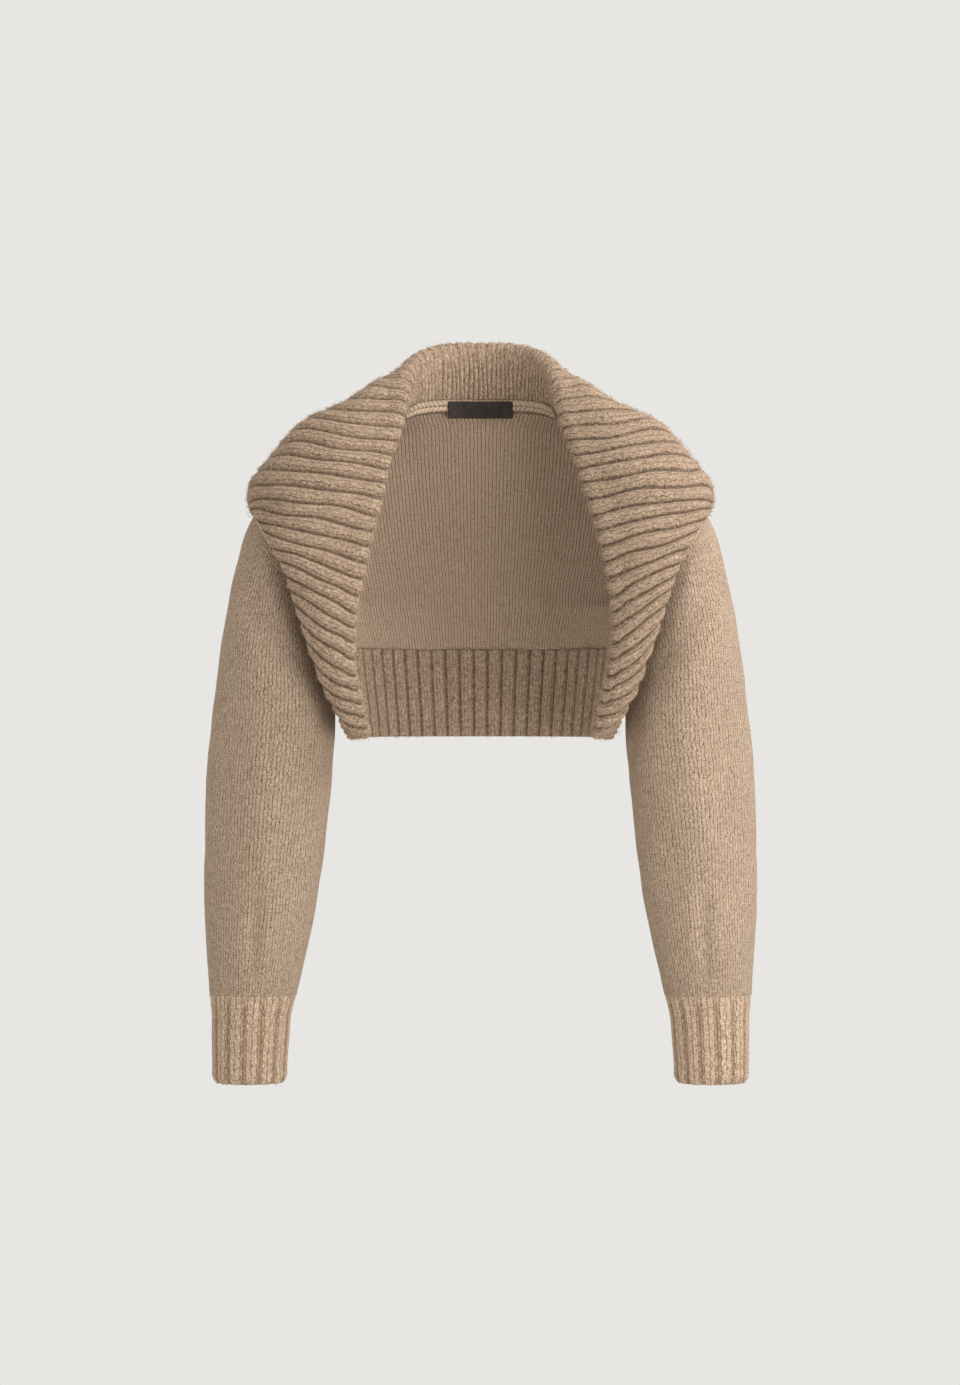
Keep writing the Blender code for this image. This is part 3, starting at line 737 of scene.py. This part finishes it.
PLAIN_YARN = yarn_material("plain_yarn", painted_brightness=1.0, stitch_relief_and_shade=1.1, uneven=2.0, heathered=0.9)
turns = np.arange(SLEEVE_ROUND) / SLEEVE_ROUND
for side_name, side in (("left", 1), ("right", -1)):
    grid, down = tube(SLEEVE, turns, SLEEVE_LONG)
    girth = lengths(np.concatenate([grid, grid[:, :1]], axis=1), 1)
    lift = laid_folds(SLEEVE_FOLDS, turns, down, FOLDS_ROUND)
    normals = outward_of(grid)
    lift *= (np.clip(down / 40, 0, 1) * np.clip((down[-1] - down) / 25, 0.15, 1))[:, None]
    grid = grid + normals * lift[:, :, None]
    # The yarn is drawn in at the cuff seam, so small gathers run up from it.
    gather = GATHER_HEIGHT * np.exp(-((down[-1] - down) / GATHER_REACH))[:, None]
    gather = gather * np.sin(turns * 2 * math.pi * GATHERS)[None, :]
    grid = grid + normals * gather[:, :, None]
    grid = grid * [side, 1, 1]
    # The columns of stitches run straight down the arm, so they keep their number round it.
    wales = girth[WALE_RING] / girth[WALE_RING, -1] * SLEEVE_WALES
    courses = down[:, None] / BODY_COURSE
    flip = 0 if side > 0 else None
    sleeve = sheet_mesh("sleeve_knit_" + side_name, grid, wales, courses, closed=True, flip=flip)
    knit(sleeve, PLAIN_YARN, SLEEVE_WALL, lumps=2.4, lump_size=38.0)
    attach(sleeve, "root")
    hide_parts("sleeve_" + side_name)
    hairs_on(sleeve, 8.0, 0.0)

# ------------------------------------------------------------
# Cuffs. Broad rib in the same yarn, knitted on at the sleeve's end and drawn in round the wrist. The last
# rows are bound off to a soft round edge.
CUFF = [
    # inner (x, z), outer (x, z), middle y, half depth
    ((184, -591), (267, -591), -124, 37),
    ((188, -602), (265, -602), -125, 35),
    ((192, -636), (264, -636), -127, 33.5),
    ((194, -662), (263.5, -662), -128, 32.5),
    ((194.5, -672), (263, -672), -129, 32),
    ((197.5, -677), (260, -677), -129, 30),
]
CUFF_RIBS = 14
CUFF_TURN = -0.22  # turns the ribs so that a groove lies just beside the middle of the front
CUFF_WALL, CUFF_RIB_HEIGHT = 2.7, 1.9
CUFF_SAMPLES, CUFF_WALES = 12, 3  # in a rib
CUFF_FADE = 11.0  # how far the ribs take to rise from the sleeve
ROUND_EDGE = (0.92, 0.75, 0.4)  # the thickness of the last rows before a rib's bound-off edge

# The cuffs' yarn is painted brighter than the sleeves': painted light on the cuffs, low down where the
# lamps reach less.
CUFF_YARN = yarn_material("cuff_yarn", painted_brightness=1.24, stitch_relief_and_shade=0.75, groove_shade=0.8, uneven=1.5, heathered=0.9)
turns = np.arange(CUFF_RIBS * CUFF_SAMPLES) / (CUFF_RIBS * CUFF_SAMPLES)
for side_name, side in (("left", 1), ("right", -1)):
    grid, down = tube(CUFF, turns, 40)
    count = np.arange(len(turns) + 1) / CUFF_SAMPLES + CUFF_TURN
    swell = np.ones(len(down))
    swell[-len(ROUND_EDGE) :] = ROUND_EDGE
    cuff = sheet_mesh(
        "cuff_knit_" + side_name,
        grid * [side, 1, 1],
        count * CUFF_WALES,
        down[:, None] / BODY_COURSE,
        closed=True,
        flip=0 if side > 0 else None,
        rib=count[:-1],
        relief=np.clip(down / CUFF_FADE, 0.06, 1)[:, None],
        swell=swell[:, None],
    )
    knit(cuff, CUFF_YARN, CUFF_WALL, rib=CUFF_RIB_HEIGHT, reverse=1.2, groove=3.2, lumps=0.8)
    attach(cuff, "root")
    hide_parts("cuff_" + side_name)
    hairs_on(cuff, 10.0, 0.5, 3.5)

# ------------------------------------------------------------
# Back. One plain knit panel from the hem band to the shoulders, seen through the open front. It is sewn
# into the armholes and linked to the collar along the neck.
BACK_MIDDLE = [
    # place, middle y, middle z, fullness; a place is twentieths round the armhole from the underarm, and
    # those below 0 lie on the side seam
    (-2, 14, -248, 2.2),
    (0, 20, -203, 2.3),
    (4, 22, -145, 2.4),
    (6, 18, -92, 2.3),
    (8, 10, -45, 2.2),
    (10, 0, 0, 2.2),
]
HEM_SIDE = (137, -92, -248)
SHOULDER_RIB = 10.0
BODY_WALL = 2.6
BACK_ACROSS, BACK_WALE_ROW = 144, 25


def armhole_at(place):
    """A point of the left armhole, this many twentieths round from the underarm, by the back."""
    return ring(*SLEEVE[0], [place / 20])[0]


def back_row(place):
    places = [row[0] for row in BACK_MIDDLE]
    middle_y, middle_z, fullness = spline([row[1:] for row in BACK_MIDDLE], places, place)[0]
    if place >= 0:
        side = armhole_at(place)
    else:
        side = armhole_at(0) * (1 + place / 2) + np.array(HEM_SIDE) * (-place / 2)
    turn = np.linspace(-1, 1, BACK_ACROSS + 1)
    x = side[0] * turn
    y = side[1] + (middle_y - side[1]) * (1 - np.abs(turn) ** fullness) ** (1 / fullness * 1.1)
    z = middle_z + (side[2] - middle_z) * np.abs(turn) ** 2
    return np.stack([x, y, z], axis=1)


def evenly(points, count):
    """This many points along straight steps between the given ones, the same number in each step."""
    at = np.linspace(0, len(points) - 1, count)
    return np.stack([np.interp(at, np.arange(len(points)), points[:, k]) for k in range(3)], axis=1)


neck = collar_at(np.arange(-SHOULDER_RIB, SHOULDER_RIB + 1, 2), [-1.0])[:, 0]
shoulder = neck[-1] + np.outer(np.linspace(0, 1, 8)[1:], armhole_at(10) - neck[-1])
top = evenly(np.concatenate([(shoulder * [-1, 1, 1])[::-1], neck, shoulder]), BACK_ACROSS + 1)
rows = [back_row(place) for place in np.linspace(-2, 9, 56)]
before, last = back_row(8.0), rows[-1]
for share in np.linspace(0, 1, 9)[1:]:
    leave, arrive = (last - before) * (1 - share), (top - last)
    rows.append(last + (top - last) * share + (leave - arrive * (1 - share)) * share * (1 - share))
grid = np.array(rows)
wales = lengths(grid, 1)[BACK_WALE_ROW] / WALE
courses = lengths(grid, 0)[:, BACK_ACROSS // 2, None] / BODY_COURSE
back = sheet_mesh("back_panel", grid, wales, courses)
# The back's yarn is painted brighter than the sleeves': painted light on the shaded inside of the back.
BACK_YARN = yarn_material("back_yarn", painted_brightness=1.08, stitch_relief_and_shade=1.3, heathered=0.5)
knit(back, BACK_YARN, BODY_WALL, lumps=2.2, lump_size=45.0)
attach(back, "root")
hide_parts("back")
hairs_on(back, 4.0, 2.5, 3.5)

# ------------------------------------------------------------
# Fronts. Two narrow panels of the sleeves' plain knit, sewn in between the armhole and the collar's seam
# and hidden under the fall.
PLACES = np.linspace(0, 12, 49)
FRONT_BULGE, FRONT_ACROSS = 7.0, 16
for side_name, side in (("left", 1), ("right", -1)):
    rows = []
    for place in PLACES:
        start = collar_at([SHOULDER_RIB + 2 * place], [-1.0])[0, 0]
        low = np.clip(place / 2 - 5, 0, 1)
        end = armhole_at(10 + min(place, 10)) * (1 - low) + np.array(HEM_SIDE) * low
        bulge = FRONT_BULGE * math.sin(math.pi * min(1.0, place / 10))
        share = np.linspace(0, 1, FRONT_ACROSS + 1)[:, None]
        rows.append(start + (end - start) * share + np.array([0, -bulge, 0]) * np.sin(math.pi * share))
    grid = np.array(rows)
    grid[:, 0] += (grid[:, 1] - grid[:, 0]) * 0.3
    grid = grid * [side, 1, 1]
    wales = lengths(grid, 1) / WALE
    courses = lengths(grid, 0)[:, FRONT_ACROSS // 2, None] / BODY_COURSE
    front = sheet_mesh("front_panel_" + side_name, grid, wales, courses, flip=0 if side > 0 else None)
    knit(front, PLAIN_YARN, BODY_WALL, lumps=0.6)
    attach(front, "root")
    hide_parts("front_" + side_name)

# ------------------------------------------------------------
# Hem band. Rib along the lower back, knitted on to the panel and sewn to the collar's ends at the side
# seams. Its lower edge hangs free, level with the collar's.
HEM_BACK = [
    # x, y on the hem seam, y at the lower edge, x at the lower edge
    (0, 14, 6, 0),
    (60, 7, 0, 55),
    (104, -22, -25, 96),
    (129, -58, -58, 118),
    (137, -92, -92, 125),
]
HEM_SEAM_Z, HEM_Z = -248.0, -337.0
HEM_RIBS = 26
HEM_SAMPLES, HEM_WALES = 8, 4  # in a rib
HEM_WALL, HEM_RIB_HEIGHT = 3.0, 2.2

table = np.array(HEM_BACK, float)
times = table[:, 0] + np.abs(table[:, 1] - table[0, 1]) * 0.6
half = spline(table, times, np.linspace(0, times[-1], HEM_RIBS * HEM_SAMPLES // 2 + 1))
full = np.concatenate([half[:0:-1] * [-1, 1, 1, -1], half])
rows = []
for share in np.concatenate([np.linspace(0, 0.96, 34), EDGE_ROWS]):
    x = full[:, 0] + (full[:, 3] - full[:, 0]) * share
    y = full[:, 1] + (full[:, 2] - full[:, 1]) * share
    rows.append(np.stack([x, y, np.full(len(full), HEM_SEAM_Z + (HEM_Z - HEM_SEAM_Z) * share)], axis=1))
grid = np.array(rows)
round_way = lengths(grid, 1)[0]
count = (round_way / round_way[-1] - 0.5) * HEM_RIBS
swell = np.ones(len(rows))
swell[-len(ROUND_EDGE) :] = ROUND_EDGE
courses = lengths(grid, 0) / COURSE
hem = sheet_mesh(
    "hem_rib_band", grid, count * HEM_WALES, courses, flip=0, rib=count, relief=1.0, swell=swell[:, None]
)
knit(hem, RIB_YARN, HEM_WALL, rib=HEM_RIB_HEIGHT, reverse=2.2, groove=2.0, lumps=1.0)
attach(hem, "root")
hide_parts("hem_band")
hairs_on(hem, 6.0, 6.0, 3.5)

# ------------------------------------------------------------
# Neck tape. A band of chain stitches in the same yarn, linked over the inside of the back neck seam to
# cover and steady it.
TAPE_TOP, TAPE_BOTTOM = 8.0, -5.0
TAPE_RIBS = np.arange(-SHOULDER_RIB, SHOULDER_RIB + 1, 2)
TAPE_INWARD = 3.5
TAPE_ACROSS, TAPE_LONG, RUN_ROW = 24, 400, 10
CHAIN_STITCH, CHAIN_HEIGHT, CHAIN_SLANT = 6.2, 1.7, 2.4
LOOP_SLANT = 1.5  # what the yarn's own loops already slant


def neck_strip(ribs_at, heights, inward):
    """A strip inside the back neck seam, this far in from the walls: up the stand and down the back."""
    seam, up_stand = collar_at(TAPE_RIBS, [-1.0, -0.6]).transpose(1, 0, 2)
    rise = np.array([unit(step) for step in up_stand - seam])
    inwards = np.array([unit(np.cross(step, up)) for up, step in zip(rise, np.gradient(seam, axis=0))])
    rows = []
    for height in heights:
        way = rise if height > 0 else np.array([[0, 0, 1.0]] * len(TAPE_RIBS))
        row = seam + way * height + inwards * inward
        rows.append(np.stack([np.interp(ribs_at, TAPE_RIBS, row[:, axis]) for axis in range(3)], axis=1))
    return np.array(rows)


heights = np.linspace(TAPE_TOP, TAPE_BOTTOM, TAPE_ACROSS + 1)
grid = neck_strip(np.linspace(-SHOULDER_RIB, SHOULDER_RIB, TAPE_LONG), heights, TAPE_INWARD)
run = lengths(grid, 1)[RUN_ROW] / CHAIN_STITCH
across = np.linspace(0, 1, len(heights))[:, None]
# Two rows of slanted strands meet along the middle of the band.
aside = np.abs(across - 0.5)
leg = np.clip(1 - ((aside - 0.25) * 4) ** 2, 0, 1)
slant = np.abs(np.sin(math.pi * (run[None, :] + CHAIN_SLANT * aside)))
chain = CHAIN_HEIGHT * np.sqrt(leg) * (0.25 + 0.75 * np.sqrt(slant))
inward_way = np.cross(np.gradient(grid, axis=1), np.gradient(grid, axis=0))
inward_way /= np.linalg.norm(inward_way, axis=2, keepdims=True)
inward_way *= -np.sign(inward_way[RUN_ROW, TAPE_LONG // 2, 1])
grid = grid + inward_way * chain[:, :, None]
# The tape's yarn is painted darker than the other pieces': painted shade on the tape inside the neck.
TAPE_YARN = yarn_material("tape_yarn", painted_brightness=0.92, stitch_relief_and_shade=1.1, uneven=0.1, heathered=0.6)
strands = run[None, :] + (CHAIN_SLANT - LOOP_SLANT) * aside
tape = sheet_mesh("neck_chain_tape", grid, across, strands)
knit(tape, TAPE_YARN, 1.3, lumps=0.3)
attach(tape, "root")
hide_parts("neck_tape")

# ------------------------------------------------------------
# Label. A bare woven label in dark brown satin, its ends folded under and sewn to the middle of the neck
# tape.
LABEL_WIDTH, LABEL_TOP, LABEL_BOTTOM = 66.0, 6.5, -11.0
LABEL_INWARD = 6.2
LABEL_WALL = 0.7
WARP, WEFT = 0.0006, 0.0009  # metres from thread to thread
SATIN_DARK, SATIN_PALE = (0.012, 0.007, 0.006), (0.04, 0.027, 0.024)

strip_x = neck_strip(TAPE_RIBS, [0.0], LABEL_INWARD)[0, :, 0]
half_ribs = float(np.interp(LABEL_WIDTH / 2, strip_x, TAPE_RIBS))
heights = np.linspace(LABEL_TOP, LABEL_BOTTOM, 19)
grid = neck_strip(np.linspace(-half_ribs, half_ribs, 67), heights, LABEL_INWARD)
satin, tree, shader = new_material("label_satin", {"Roughness": 0.6, "Specular IOR Level": 0.25})
place = add_node(tree, "ShaderNodeTexCoord").outputs["Object"]
parts = add_node(tree, "ShaderNodeSeparateXYZ", {"Vector": place})
warp = maths(tree, "SINE", maths(tree, "MULTIPLY", parts.outputs[0], 2 * math.pi / WARP))
weft = maths(tree, "SINE", maths(tree, "MULTIPLY", parts.outputs[2], 2 * math.pi / WEFT))
weave = maths(tree, "MULTIPLY_ADD", warp, 0.5, weft)
patch = noise(tree, place, 160.0, 3.0)
amount = maths(tree, "MULTIPLY_ADD", weave, 0.12, patch.outputs[0])
brown = shades(tree, amount, (0.2, SATIN_DARK, 1.0), (0.85, SATIN_PALE, 1.0))
tree.links.new(brown, shader.inputs["Base Color"])
bump = add_node(tree, "ShaderNodeBump", {"Height": weave, "Strength": 0.4, "Distance": 0.15 * MM})
tree.links.new(bump.outputs[0], shader.inputs["Normal"])
label = sheet_mesh("blank_label", grid, 0.0, 0.0)
knit(label, satin, LABEL_WALL, lumps=0.5, lump_size=14.0)
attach(label, "root")
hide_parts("label")

# ------------------------------------------------------------
# Studio. A plain pale floor well below the hanging shrug, pale surroundings, a soft main light from ahead
# and the right, one from above on the right, and a weak one from the left.
FLOOR_Z, FLOOR_REACH = -2.9, 9.0
SURROUND = (0.80, 0.79, 0.762)
floor_mesh = bpy.data.meshes.new("floor")
ways = ((-1, -1), (1, -1), (1, 1), (-1, 1))
corners = [(x * FLOOR_REACH, y * FLOOR_REACH, FLOOR_Z) for x, y in ways]
floor_mesh.from_pydata(corners, [], [(0, 1, 2, 3)])
floor = bpy.data.objects.new("floor", floor_mesh)
bpy.context.scene.collection.objects.link(floor)
floor_finish = {"Base Color": (0.84, 0.83, 0.80, 1.0), "Roughness": 0.9}
floor_mesh.materials.append(new_material("pale_floor", floor_finish)[0])

world = bpy.data.worlds.new("studio")
world.use_nodes = True
world.node_tree.nodes["Background"].inputs["Color"].default_value = (*SURROUND, 1.0)
world.node_tree.nodes["Background"].inputs["Strength"].default_value = 1.0
bpy.context.scene.world = world

LIGHTS = [
    # name, place x, y, z, side in metres, power in watts; each looks at the middle of the shrug
    ("main", (0.9, -1.3, -0.4), 0.9, 13.0),
    ("above", (1.2, -0.25, 1.2), 0.7, 27.0),
    ("left", (-1.3, -1.6, -0.7), 1.0, 4.0),
]
SHRUG_MIDDLE = (0.0, -0.1, -0.3)
for name, place, side, power in LIGHTS:
    lamp = bpy.data.lights.new(name, "AREA")
    lamp.energy = power
    lamp.size = side
    holder = bpy.data.objects.new(name, lamp)
    holder.location = place
    x, y, z = (there - middle for there, middle in zip(place, SHRUG_MIDDLE))
    holder.rotation_euler = (math.atan2(math.hypot(x, y), z), 0, math.atan2(y, x) + math.radians(90))
    bpy.context.scene.collection.objects.link(holder)
bpy.context.scene.view_settings.view_transform = "Standard"
